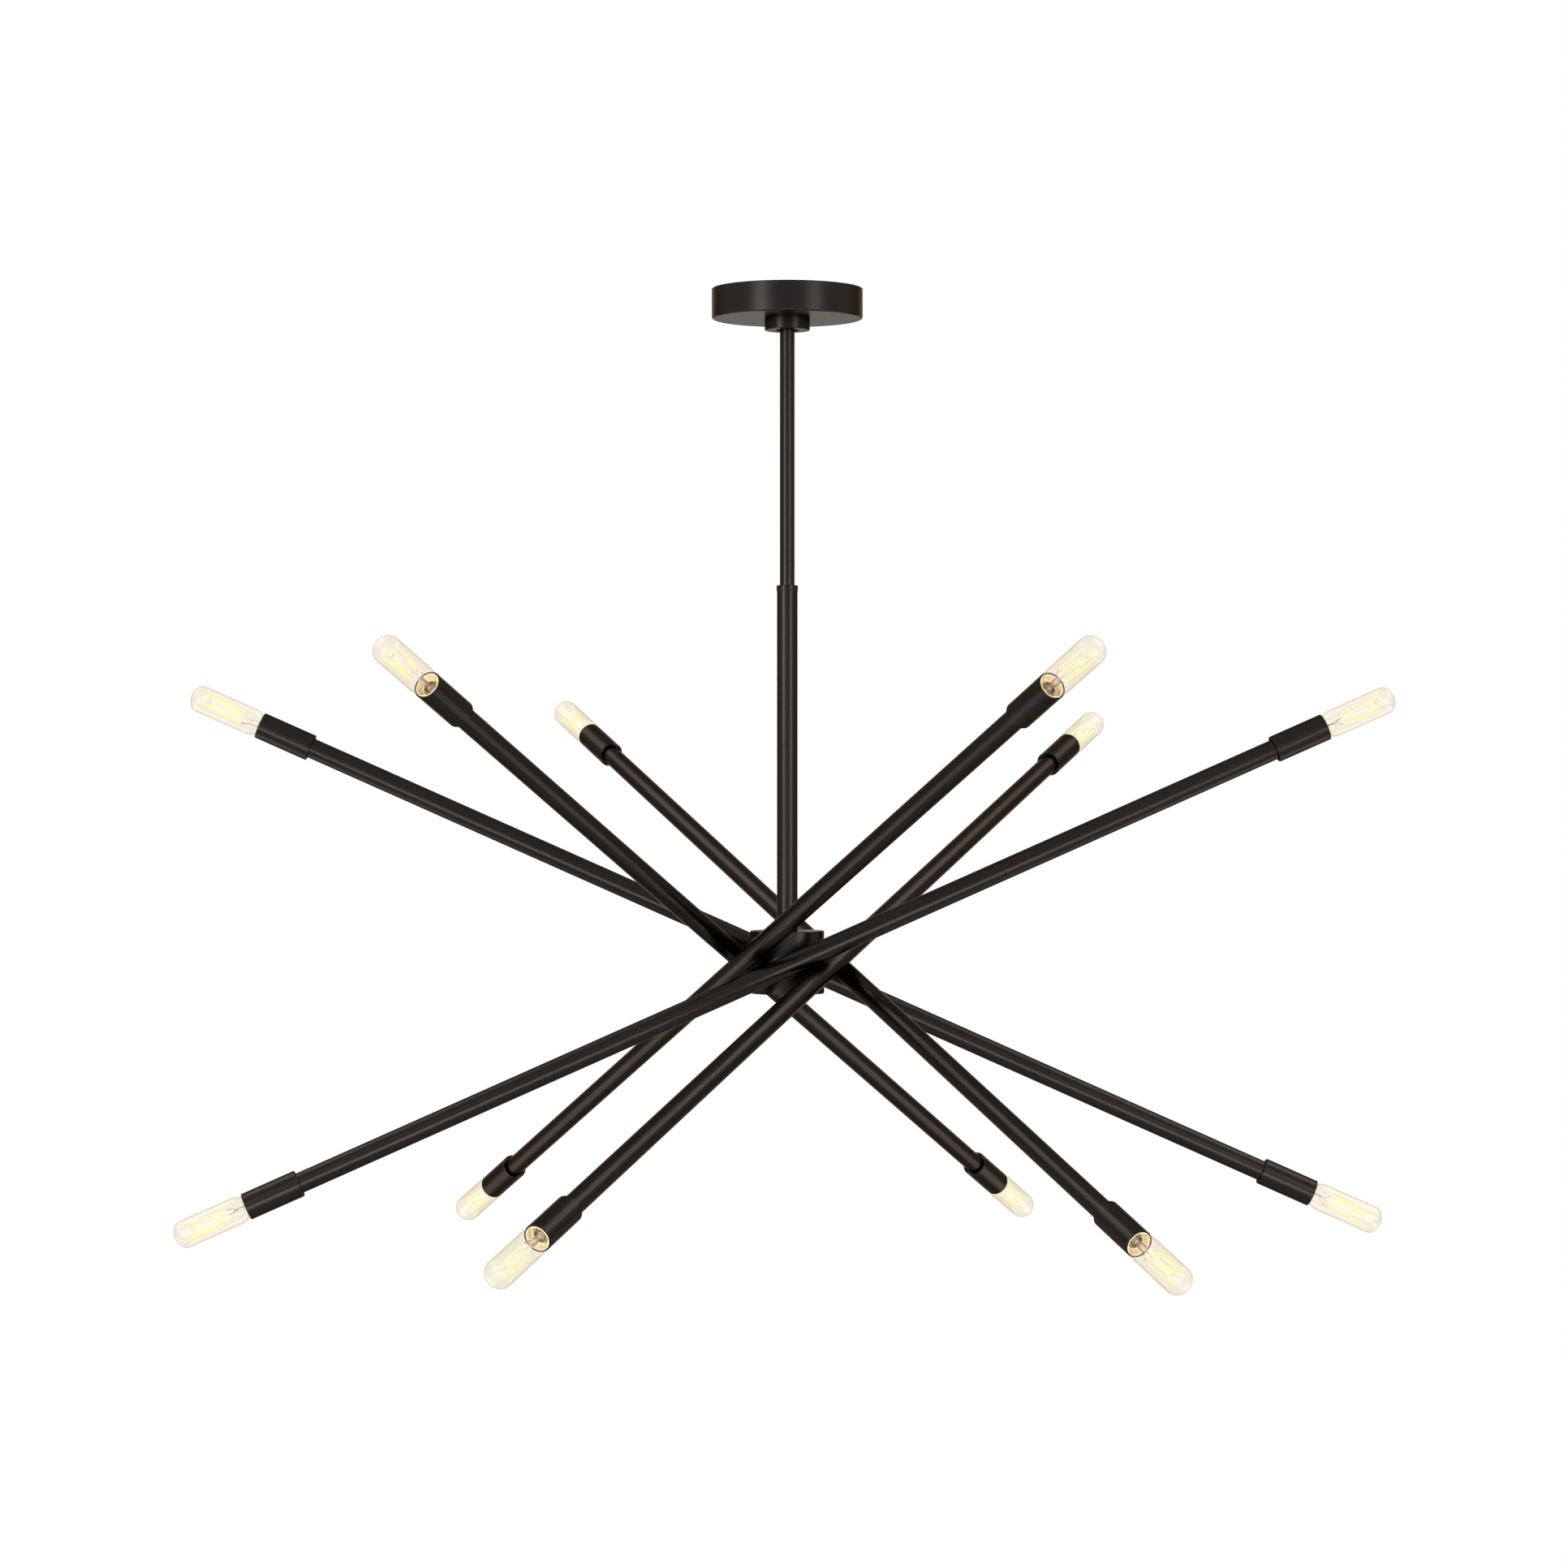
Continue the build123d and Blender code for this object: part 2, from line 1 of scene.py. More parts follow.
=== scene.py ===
import json
import math

import bmesh
import bpy
from mathutils import Matrix, Vector


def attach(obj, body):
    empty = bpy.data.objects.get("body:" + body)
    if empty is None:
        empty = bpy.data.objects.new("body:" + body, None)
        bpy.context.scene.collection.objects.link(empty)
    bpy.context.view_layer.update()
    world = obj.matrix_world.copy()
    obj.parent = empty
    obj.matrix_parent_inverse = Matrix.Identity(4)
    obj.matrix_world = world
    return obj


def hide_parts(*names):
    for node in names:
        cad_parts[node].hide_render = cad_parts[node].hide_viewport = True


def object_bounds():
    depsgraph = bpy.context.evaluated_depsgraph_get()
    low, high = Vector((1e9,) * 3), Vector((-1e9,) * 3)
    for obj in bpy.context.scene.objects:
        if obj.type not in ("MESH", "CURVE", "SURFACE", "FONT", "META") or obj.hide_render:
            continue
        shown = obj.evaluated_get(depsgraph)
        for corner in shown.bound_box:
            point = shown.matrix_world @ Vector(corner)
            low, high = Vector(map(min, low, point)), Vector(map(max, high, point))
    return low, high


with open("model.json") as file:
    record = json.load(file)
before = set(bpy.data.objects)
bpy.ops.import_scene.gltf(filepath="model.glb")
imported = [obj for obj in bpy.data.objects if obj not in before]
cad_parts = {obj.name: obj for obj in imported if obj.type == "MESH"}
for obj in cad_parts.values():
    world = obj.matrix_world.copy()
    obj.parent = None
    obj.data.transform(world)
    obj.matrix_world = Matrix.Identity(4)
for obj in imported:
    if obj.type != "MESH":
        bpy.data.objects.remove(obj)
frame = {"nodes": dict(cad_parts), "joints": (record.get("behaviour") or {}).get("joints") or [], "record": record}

# Sputnik chandelier with six straight arms and twelve clear tubular bulbs. Metres, in the CAD frame.

cadBox = [list(corner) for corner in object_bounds()]
mm = 0.001


def linear(hexColor):
    # sRGB hex to the linear colour that Blender's sockets take
    channels = [int(hexColor[i:i + 2], 16) / 255 for i in (1, 3, 5)]
    return [c / 12.92 if c <= 0.04045 else ((c + 0.055) / 1.055) ** 2.4 for c in channels] + [1.0]


def addNode(tree, kind, settings=None, inputs=None):
    # Settings are the node's own properties; an input is a value or the socket that feeds it
    node = tree.nodes.new(kind)
    for key, value in (settings or {}).items():
        setattr(node, key, value)
    for key, value in (inputs or {}).items():
        if isinstance(value, bpy.types.NodeSocket):
            tree.links.new(value, node.inputs[key])
        else:
            node.inputs[key].default_value = value
    return node


def newMaterial(name):
    material = bpy.data.materials.new(name)
    material.use_nodes = True
    material.node_tree.nodes.clear()
    return material, material.node_tree


def setMaterial(piece, material):
    piece.data.materials.clear()
    piece.data.materials.append(material)


def addPiece(name, data, material):
    piece = bpy.data.objects.new(name, data)
    bpy.context.scene.collection.objects.link(piece)
    for polygon in data.polygons:
        polygon.use_smooth = True
    setMaterial(piece, material)
    return piece


def meshPiece(name, mesh, material, placement=Matrix()):
    data = bpy.data.meshes.new(name)
    bmesh.ops.transform(mesh, matrix=placement, verts=mesh.verts)
    mesh.to_mesh(data)
    mesh.free()
    return addPiece(name, data, material)


# The camera stands level, opposite the hub and a little above it
camera = {
    "distance": 3.4750,
    "height": -0.4259,
    "lens": 92.72,           # millimetres, as is the sensor
    "sensor": 36.0,
    "imageWidth": 1932,      # pixels of the photograph
    "axisPixel": 970,        # where the fixture's vertical axis stands in it
}


def makeCamera(values):
    data = bpy.data.cameras.new("camera")
    data.lens = values["lens"]
    data.sensor_width = values["sensor"]
    data.shift_x = (values["imageWidth"] / 2 - values["axisPixel"]) / values["imageWidth"]
    holder = bpy.data.objects.new("camera", data)
    holder.location = (0, -values["distance"], values["height"])
    holder.rotation_euler = (math.radians(90), 0, 0)
    bpy.context.scene.collection.objects.link(holder)
    bpy.context.scene.camera = holder


makeCamera(camera)
print("camera set")


# A ring of soft boxes: a pair beside the camera for the upright tubes, one under it for the arms that lie
# across the view, and four at the object's sides for the arms that point towards the camera
studio = {
    "ambient": 0.05,         # the white room as it lights the object
    "softBoxes": [
        # name, width, height, azimuth, elevation, distance, watts
        ("besideLeft", 0.8, 1.0, -40, 4, 2.6, 28),
        ("besideRight", 0.8, 1.0, 42, 4, 2.6, 19),
        ("underCamera", 2.8, 0.5, 0, -22, 2.6, 38),
        ("sideHighLeft", 1.5, 1.5, -107, 41, 2.6, 30),
        ("sideHighRight", 1.5, 1.5, 107, 41, 2.6, 30),
        ("sideLowLeft", 1.5, 1.5, -107, -41, 2.6, 22),
        ("sideLowRight", 1.5, 1.5, 107, -41, 2.6, 22),
    ],
}


def makeLights(values):
    # Each box faces the middle of the fixture, from an azimuth counted from the camera towards +X
    middle = sum((Vector(corner) for corner in cadBox), Vector()) / 2
    for name, width, height, azimuth, elevation, distance, watts in values["softBoxes"]:
        turn, rise = math.radians(azimuth), math.radians(elevation)
        away = Vector((math.sin(turn) * math.cos(rise), -math.cos(turn) * math.cos(rise), math.sin(rise)))
        data = bpy.data.lights.new(name, "AREA")
        data.shape = "RECTANGLE"
        data.size = width
        data.size_y = height
        data.energy = watts
        holder = bpy.data.objects.new(name, data)
        holder.location = middle + away * distance
        holder.rotation_euler = (-away).to_track_quat("-Z", "Y").to_euler()
        holder.visible_transmission = False      # the bulbs show the white room behind them, not the lamps
        bpy.context.scene.collection.objects.link(holder)


def seenShare(tree):
    # 1 where the camera, a mirror or glass looks, 0 where the surface only sheds light on another
    path = addNode(tree, "ShaderNodeLightPath")
    mirrored = addNode(tree, "ShaderNodeMath", {"operation": "MAXIMUM"},
                       {0: path.outputs["Is Glossy Ray"], 1: path.outputs["Is Transmission Ray"]})
    seen = addNode(tree, "ShaderNodeMath", {"operation": "MAXIMUM"},
                   {0: path.outputs["Is Camera Ray"], 1: mirrored.outputs[0]})
    return seen.outputs[0]


def makeWorld(values):
    world = bpy.data.worlds.new("studio")
    world.use_nodes = True
    tree = world.node_tree
    tree.nodes.clear()
    strength = addNode(tree, "ShaderNodeMapRange", None,
                       {"Value": seenShare(tree), "To Min": values["ambient"], "To Max": 1.0})
    background = addNode(tree, "ShaderNodeBackground", None,
                         {"Color": linear("#FFFFFF"), "Strength": strength.outputs[0]})
    addNode(tree, "ShaderNodeOutputWorld", None, {"Surface": background.outputs[0]})
    bpy.context.scene.world = world


bpy.context.scene.view_settings.view_transform = "Standard"
makeLights(studio)
makeWorld(studio)


floorPaint = {
    "height": -5.0,          # a hall's floor, low enough for a look from below
    "size": 60.0,
    "paint": "#FAF9F6",
    "roughness": 0.9,
    "glow": 0.97,            # share that shows plain white, the rest takes the lamps' light and the shadow
    "white": 1.03,           # makes up for that darker rest, so the floor has no edge against the world
}


def makeFloor(values):
    # Matt floor paint, rolled on: an even pale white without gloss
    material, tree = newMaterial("pale_matt_floor_paint")
    paint = addNode(tree, "ShaderNodeBsdfPrincipled", None,
                    {"Base Color": linear(values["paint"]), "Roughness": values["roughness"]})
    glow = addNode(tree, "ShaderNodeEmission", None,
                   {"Color": linear("#FFFFFF"), "Strength": values["white"]})
    share = addNode(tree, "ShaderNodeMath", {"operation": "MULTIPLY"},
                    {0: seenShare(tree), 1: values["glow"]})
    shader = addNode(tree, "ShaderNodeMixShader", None,
                     {0: share.outputs[0], 1: paint.outputs[0], 2: glow.outputs[0]})
    addNode(tree, "ShaderNodeOutputMaterial", None, {"Surface": shader.outputs[0]})
    mesh = bmesh.new()
    bmesh.ops.create_grid(mesh, x_segments=1, y_segments=1, size=values["size"] / 2)
    bmesh.ops.translate(mesh, verts=mesh.verts, vec=(0, 0, values["height"]))
    floor = meshPiece("floor", mesh, material)


makeFloor(floorPaint)
print("studio set")


bronze = {
    "coat": "#252322",
    "coatWarm": "#292624",
    "edgeTint": "#B9B3AC",   # keeps the grazing reflection of the dark oxide low
    "roughness": (0.28, 0.34),
    "grain": 0.35 * mm,      # spray texture of the coating
    "cloud": 60 * mm,        # slow change of tone along a part
    "bump": 0.004 * mm,
    "bumpStrength": 0.4,
}


def bronzeMaterial(values):
    # Steel with a blackened bronze finish under satin lacquer: nearly black and warm, with a soft sheen
    # and a fine orange-peel grain that breaks the highlights a little
    material, tree = newMaterial("blackened_bronze_on_steel")
    place = addNode(tree, "ShaderNodeTexCoord")
    cloud = addNode(tree, "ShaderNodeTexNoise", None,
                    {"Vector": place.outputs["Object"], "Scale": 1 / values["cloud"], "Detail": 3.0})
    grain = addNode(tree, "ShaderNodeTexNoise", None,
                    {"Vector": place.outputs["Object"], "Scale": 1 / values["grain"], "Detail": 2.0})
    tone = addNode(tree, "ShaderNodeMix", {"data_type": "RGBA"},
                   {"Factor": cloud.outputs["Fac"], 6: linear(values["coat"]), 7: linear(values["coatWarm"])})
    low, high = values["roughness"]
    rough = addNode(tree, "ShaderNodeMapRange", None,
                    {"Value": grain.outputs["Fac"], "To Min": low, "To Max": high})
    bump = addNode(tree, "ShaderNodeBump", None,
                   {"Height": grain.outputs["Fac"], "Distance": values["bump"],
                    "Strength": values["bumpStrength"]})
    shader = addNode(tree, "ShaderNodeBsdfPrincipled", None,
                     {"Base Color": tone.outputs[2], "Metallic": 1.0, "Roughness": rough.outputs[0],
                      "Specular Tint": linear(values["edgeTint"]), "Normal": bump.outputs[0]})
    addNode(tree, "ShaderNodeOutputMaterial", None, {"Surface": shader.outputs[0]})
    return material


zinc = {
    "bright": "#B9BBBC",
    "dull": "#8F9296",
    "roughness": (0.28, 0.5),
    "spangle": 2.5 * mm,     # size of the crystals in the plating
    "bump": 0.01 * mm,
    "bumpStrength": 0.5,
}


def zincMaterial(values):
    # Zinc-plated steel, barrel plated: bluish grey, half bright, with small crystals of differing gloss
    material, tree = newMaterial("zinc_plated_steel")
    place = addNode(tree, "ShaderNodeTexCoord")
    spangle = addNode(tree, "ShaderNodeTexVoronoi", None,
                      {"Vector": place.outputs["Object"], "Scale": 1 / values["spangle"]})
    shade = addNode(tree, "ShaderNodeSeparateColor", None, {"Color": spangle.outputs["Color"]})
    tone = addNode(tree, "ShaderNodeMix", {"data_type": "RGBA"},
                   {"Factor": shade.outputs[0], 6: linear(values["bright"]), 7: linear(values["dull"])})
    low, high = values["roughness"]
    rough = addNode(tree, "ShaderNodeMapRange", None,
                    {"Value": shade.outputs[1], "To Min": low, "To Max": high})
    bump = addNode(tree, "ShaderNodeBump", None,
                   {"Height": shade.outputs[0], "Distance": values["bump"],
                    "Strength": values["bumpStrength"]})
    shader = addNode(tree, "ShaderNodeBsdfPrincipled", None,
                     {"Base Color": tone.outputs[2], "Metallic": 1.0, "Roughness": rough.outputs[0],
                      "Normal": bump.outputs[0]})
    addNode(tree, "ShaderNodeOutputMaterial", None, {"Surface": shader.outputs[0]})
    return material


# Stamped brass, lightly tarnished: golden with browner patches that are less glossy
brass = {
    "bright": "#E3CB8C",
    "dull": "#BE9C58",
    "roughness": (0.2, 0.38),
    "patch": 1.8 * mm,
    "detail": 4.0,
}
# Copper-clad lead wire, drawn: brown to coppery, darker where the flame has touched it
leadWire = {
    "bright": "#C79A66",
    "dull": "#8A6340",
    "roughness": (0.25, 0.45),
    "patch": 2.0 * mm,
    "detail": 3.0,
}
# Molybdenum support wire, drawn and annealed: pale grey, faintly straw where it has been hot
hookWire = {
    "bright": "#D8D2C6",
    "dull": "#B0A697",
    "roughness": (0.3, 0.45),
    "patch": 1.2 * mm,
    "detail": 2.0,
}


def patchyMetal(name, values):
    # Bare metal in which tone and gloss change together, from bright patches to dull ones
    material, tree = newMaterial(name)
    place = addNode(tree, "ShaderNodeTexCoord")
    patches = addNode(tree, "ShaderNodeTexNoise", None,
                      {"Vector": place.outputs["Object"], "Scale": 1 / values["patch"],
                       "Detail": values["detail"]})
    tone = addNode(tree, "ShaderNodeMix", {"data_type": "RGBA"},
                   {"Factor": patches.outputs["Fac"], 6: linear(values["bright"]), 7: linear(values["dull"])})
    low, high = values["roughness"]
    rough = addNode(tree, "ShaderNodeMapRange", None,
                    {"Value": patches.outputs["Fac"], "To Min": low, "To Max": high})
    shader = addNode(tree, "ShaderNodeBsdfPrincipled", None,
                     {"Base Color": tone.outputs[2], "Metallic": 1.0, "Roughness": rough.outputs[0]})
    addNode(tree, "ShaderNodeOutputMaterial", None, {"Surface": shader.outputs[0]})
    return material


thermoset = {
    "cream": "#EDE6D2",
    "shadow": "#DDD3BA",
    "roughness": (0.35, 0.5),
    "flow": 3.0 * mm,        # flow marks of the moulding
    "fibre": 0.4 * mm,       # fibres of the pressed liner
    "bump": 0.02 * mm,
    "bumpStrength": 0.4,
}


def thermosetMaterial(values):
    # Urea thermoset, compression moulded, with a pressed fibre liner: cream, half matt, faintly mottled
    material, tree = newMaterial("moulded_cream_thermoset")
    place = addNode(tree, "ShaderNodeTexCoord")
    flow = addNode(tree, "ShaderNodeTexNoise", None,
                   {"Vector": place.outputs["Object"], "Scale": 1 / values["flow"], "Detail": 5.0})
    fibre = addNode(tree, "ShaderNodeTexNoise", None,
                    {"Vector": place.outputs["Object"], "Scale": 1 / values["fibre"], "Detail": 2.0})
    tone = addNode(tree, "ShaderNodeMix", {"data_type": "RGBA"},
                   {"Factor": flow.outputs["Fac"], 6: linear(values["cream"]), 7: linear(values["shadow"])})
    low, high = values["roughness"]
    rough = addNode(tree, "ShaderNodeMapRange", None,
                    {"Value": fibre.outputs["Fac"], "To Min": low, "To Max": high})
    bump = addNode(tree, "ShaderNodeBump", None,
                   {"Height": fibre.outputs["Fac"], "Distance": values["bump"],
                    "Strength": values["bumpStrength"]})
    shader = addNode(tree, "ShaderNodeBsdfPrincipled", None,
                     {"Base Color": tone.outputs[2], "Roughness": rough.outputs[0],
                      "Normal": bump.outputs[0]})
    addNode(tree, "ShaderNodeOutputMaterial", None, {"Surface": shader.outputs[0]})
    return material


# Soda-lime glass, blown: clear and smooth, cream where the eye passes along the wall
glass = {
    "tint": "#FCFAF5",
    "absorb": "#E8DEC6",     # colour that passes a thick stretch of the wall
    "density": 200.0,        # how fast it does, per metre
    "roughness": 0.0,
    "bend": 1.0,             # a wall this thin shifts what is behind it by less than a hair
    "gloss": 0.4,            # share of glass's own reflection, at its index
    "glossIndex": 1.5,
    "glossRoughness": 0.3,
}
# Lead glass, pressed while soft: clear, its rod bending the light, dimmed by the tongs' marks
stemGlass = {
    "tint": "#FFFFFF",
    "absorb": "#EDE7D6",
    "density": 60.0,
    "roughness": 0.3,        # marks of the pressing tongs
    "bend": 1.5,
    "gloss": 0.0,
    "glossIndex": 1.5,
    "glossRoughness": 0.3,
}


def glassMaterial(name, values):
    # Blender's glass throws the shadow of a solid thing, so the lamps' own rays are let through it here
    material, tree = newMaterial(name)
    glassy = addNode(tree, "ShaderNodeBsdfPrincipled", None,
                     {"Base Color": linear(values["tint"]), "Roughness": values["roughness"],
                      "IOR": values["bend"], "Transmission Weight": 1.0, "Coat Weight": values["gloss"],
                      "Coat Roughness": values["glossRoughness"], "Coat IOR": values["glossIndex"]})
    clear = addNode(tree, "ShaderNodeBsdfTransparent")
    path = addNode(tree, "ShaderNodeLightPath")
    shader = addNode(tree, "ShaderNodeMixShader", None,
                     {0: path.outputs["Is Shadow Ray"], 1: glassy.outputs[0], 2: clear.outputs[0]})
    volume = addNode(tree, "ShaderNodeVolumeAbsorption", None,
                     {"Color": linear(values["absorb"]), "Density": values["density"]})
    addNode(tree, "ShaderNodeOutputMaterial", None,
            {"Surface": shader.outputs[0], "Volume": volume.outputs[0]})
    return material


filament = {
    "glow": "#FFEAA0",
    "glowDeep": "#F8C468",
    "strength": 1.15,
    "metal": "#8A7550",
    "roughness": 0.5,
    "pitch": 0.9 * mm,       # turns of the coil, drawn coarser than the real 0.05 mm so that they show
}


def filamentMaterial(values):
    # Coiled tungsten wire, lit low: pale yellow, more orange between the turns of the coil
    material, tree = newMaterial("lit_coiled_tungsten")
    place = addNode(tree, "ShaderNodeTexCoord")
    turns = addNode(tree, "ShaderNodeTexNoise", None,
                    {"Vector": place.outputs["Object"], "Scale": 1 / values["pitch"], "Detail": 1.0})
    tone = addNode(tree, "ShaderNodeMix", {"data_type": "RGBA"},
                   {"Factor": turns.outputs["Fac"], 6: linear(values["glow"]), 7: linear(values["glowDeep"])})
    shader = addNode(tree, "ShaderNodeBsdfPrincipled", None,
                     {"Base Color": linear(values["metal"]), "Roughness": values["roughness"],
                      "Emission Color": tone.outputs[2], "Emission Strength": values["strength"]})
    addNode(tree, "ShaderNodeOutputMaterial", None, {"Surface": shader.outputs[0]})
    return material


cement = {
    "pale": "#E4DCCB",
    "sandy": "#CDC0A6",
    "grit": 0.5 * mm,
    "roughness": 0.85,
    "bump": 0.06 * mm,
    "bumpStrength": 0.6,
}


def cementMaterial(values):
    # Basing cement, baked resin with marble flour: sandy cream, matt and gritty
    material, tree = newMaterial("baked_basing_cement")
    place = addNode(tree, "ShaderNodeTexCoord")
    grit = addNode(tree, "ShaderNodeTexNoise", None,
                   {"Vector": place.outputs["Object"], "Scale": 1 / values["grit"], "Detail": 3.0})
    tone = addNode(tree, "ShaderNodeMix", {"data_type": "RGBA"},
                   {"Factor": grit.outputs["Fac"], 6: linear(values["pale"]), 7: linear(values["sandy"])})
    bump = addNode(tree, "ShaderNodeBump", None,
                   {"Height": grit.outputs["Fac"], "Distance": values["bump"],
                    "Strength": values["bumpStrength"]})
    shader = addNode(tree, "ShaderNodeBsdfPrincipled", None,
                     {"Base Color": tone.outputs[2], "Roughness": values["roughness"],
                      "Normal": bump.outputs[0]})
    addNode(tree, "ShaderNodeOutputMaterial", None, {"Surface": shader.outputs[0]})
    return material


clearGlass = glassMaterial("blown_soda_lime_glass", glass)
pressedGlass = glassMaterial("pressed_lead_glass", stemGlass)
litTungsten = filamentMaterial(filament)
copperWire = patchyMetal("drawn_copper_clad_wire", leadWire)
hookMetal = patchyMetal("annealed_molybdenum_wire", hookWire)
capCement = cementMaterial(cement)

slotMaterials = {
    "bronze_finish": bronzeMaterial(bronze),
    "zinc_steel": zincMaterial(zinc),
    "lampholder": thermosetMaterial(thermoset),
    "bulb_glass": clearGlass,
    "bulb_cap": patchyMetal("stamped_brass", brass),
}
for subpart in frame["record"]["subparts"]:
    setMaterial(frame["nodes"][subpart["node"]], slotMaterials[subpart["material_slot"]])
print("finishes set on", len(frame["nodes"]), "carried nodes")


# Heights in a bulb are counted from the sleeve's mouth
bulb = {
    "radius": 12.0 * mm,
    "showing": 65.0 * mm,    # height of the tip
    "crownRadius": 15.0 * mm,
    "cornerRadius": 7.5 * mm,
    "shoulderRise": 8.3 * mm,
    "wall": 0.7 * mm,
    "neckRadius": 5.1 * mm,
    "neckEnd": -9.0 * mm,
    "roundSteps": 64,
    "arcSteps": 10,
}


def arcTo(mesh, vert, center, angle, steps):
    # Swings a point of the outline about a centre in the XZ plane and returns the arc's last point
    swung = bmesh.ops.spin(mesh, geom=[vert], cent=center, axis=(0, 1, 0), angle=angle, steps=steps)
    return [item for item in swung["geom_last"] if isinstance(item, bmesh.types.BMVert)][0]


def lineTo(mesh, vert, x, z):
    point = mesh.verts.new((x, 0, z))
    mesh.edges.new((vert, point))
    return point


def wallOutline(mesh, values, inset):
    # Half outline of the envelope from neck to tip: shoulder, straight side, rounded corner, shallow crown
    side = values["radius"] - inset
    corner = values["cornerRadius"] - inset
    crown = values["crownRadius"] - inset
    neck = values["neckRadius"] - inset
    rise = values["shoulderRise"]
    cornerX = side - corner
    crownZ = values["showing"] - values["crownRadius"]
    cornerZ = crownZ + math.sqrt((crown - corner) ** 2 - cornerX ** 2)
    crownAngle = math.asin(cornerX / (crown - corner))
    shoulderAngle = math.acos(neck / side)
    first = mesh.verts.new((neck, 0, values["neckEnd"]))
    foot = lineTo(mesh, first, neck, rise - side * math.sin(shoulderAngle))
    top = arcTo(mesh, foot, (0, 0, rise), -shoulderAngle, values["arcSteps"])
    bend = lineTo(mesh, top, side, cornerZ)
    seam = arcTo(mesh, bend, (cornerX, 0, cornerZ), crownAngle - math.pi / 2, values["arcSteps"])
    tip = arcTo(mesh, seam, (0, 0, crownZ), -crownAngle, values["arcSteps"])
    return first, tip


weld = 0.002 * mm        # points closer than this become one
sliver = 0.001 * mm      # edges shorter than this go


def turnRound(mesh, steps):
    # Spins what the mesh holds about Z into a closed skin that faces outwards
    bmesh.ops.spin(mesh, geom=list(mesh.verts) + list(mesh.edges), cent=(0, 0, 0), axis=(0, 0, 1),
                   angle=math.tau, steps=steps, use_merge=True)
    bmesh.ops.remove_doubles(mesh, verts=mesh.verts, dist=weld)
    bmesh.ops.dissolve_degenerate(mesh, edges=mesh.edges, dist=sliver)
    bmesh.ops.recalc_face_normals(mesh, faces=mesh.faces)


def turnOutline(outline, steps):
    # Solid of revolution from (radius, height) points, the first and the last of them on the axis
    mesh = bmesh.new()
    last = mesh.verts.new((outline[0][0], 0, outline[0][1]))
    for x, z in outline[1:]:
        last = lineTo(mesh, last, x, z)
    turnRound(mesh, steps)
    return mesh


def makeEnvelope(name, values, placement):
    mesh = bmesh.new()
    outerNeck, _ = wallOutline(mesh, values, 0)
    innerNeck, _ = wallOutline(mesh, values, values["wall"])
    mesh.edges.new((outerNeck, innerNeck))
    turnRound(mesh, values["roundSteps"])
    return meshPiece(name, mesh, clearGlass, placement)


# Lists give radius and height: of the flare from its foot, of the slope from the pinch's end, and of the
# button from the rod's top
lampStem = {
    "flare": [(4.3 * mm, 0.0), (3.44 * mm, 1.0 * mm), (2.185 * mm, 3.5 * mm)],
    "tubeRadius": 1.9 * mm,
    "tubeStart": 6.0 * mm,   # above the foot of the flare
    "pinchStart": 3.0 * mm,
    "pinchEnd": 10.0 * mm,
    "slope": [(1.9 * mm, -2.0 * mm), (1.52 * mm, 0.0), (0.55 * mm, 1.2 * mm)],
    "pinchMargin": (0.5 * mm, 0.6 * mm),     # flattened too, below and above
    "pinchWide": 1.5,
    "pinchThin": 0.5,
    "rodTop": 47.0 * mm,
    "button": [(0.55 * mm, -2.0 * mm), (1.3 * mm, -0.9 * mm), (1.17 * mm, 0.0), (0.65 * mm, 0.6 * mm),
               (0.0, 0.8 * mm)],
    "roundSteps": 24,
}


def makeLampStem(name, values, placement):
    # Flared glass tube with a flattened pinch, and the glass rod above it with a button at its end
    foot, pinchEnd, rodTop = bulb["neckEnd"], values["pinchEnd"], values["rodTop"]
    outline = [(0, foot)]
    outline += [(radius, foot + height) for radius, height in values["flare"]]
    outline += [(values["tubeRadius"], foot + values["tubeStart"])]
    outline += [(values["tubeRadius"], values["pinchStart"])]
    outline += [(radius, pinchEnd + height) for radius, height in values["slope"]]
    outline += [(radius, rodTop + height) for radius, height in values["button"]]
    mesh = turnOutline(outline, values["roundSteps"])
    below, above = values["pinchMargin"]
    low, high = values["pinchStart"] - below, pinchEnd + above
    pinched = [vert for vert in mesh.verts if low < vert.co.z < high]
    bmesh.ops.scale(mesh, verts=pinched, vec=(values["pinchWide"], values["pinchThin"], 1))
    return meshPiece(name, mesh, pressedGlass, placement)


collar = {
    # radius, and height from the collar's top, from the middle of its bottom to the middle of the dish on top
    "outline": [(0.0, -1.6 * mm), (4.335 * mm, -1.6 * mm), (5.1 * mm, -1.12 * mm), (5.1 * mm, -0.1 * mm),
                (4.59 * mm, 0.0), (2.55 * mm, -0.24 * mm), (0.0, -0.3 * mm)],
    "gap": 0.15 * mm,        # to the end of the glass neck
    "roundSteps": 40,
}


def makeCollar(name, values, placement):
    # Cement that fills the cap under the glass neck and holds the two together
    top = bulb["neckEnd"] - values["gap"]
    outline = [(radius, top + height) for radius, height in values["outline"]]
    return meshPiece(name, turnOutline(outline, values["roundSteps"]), capCement, placement)


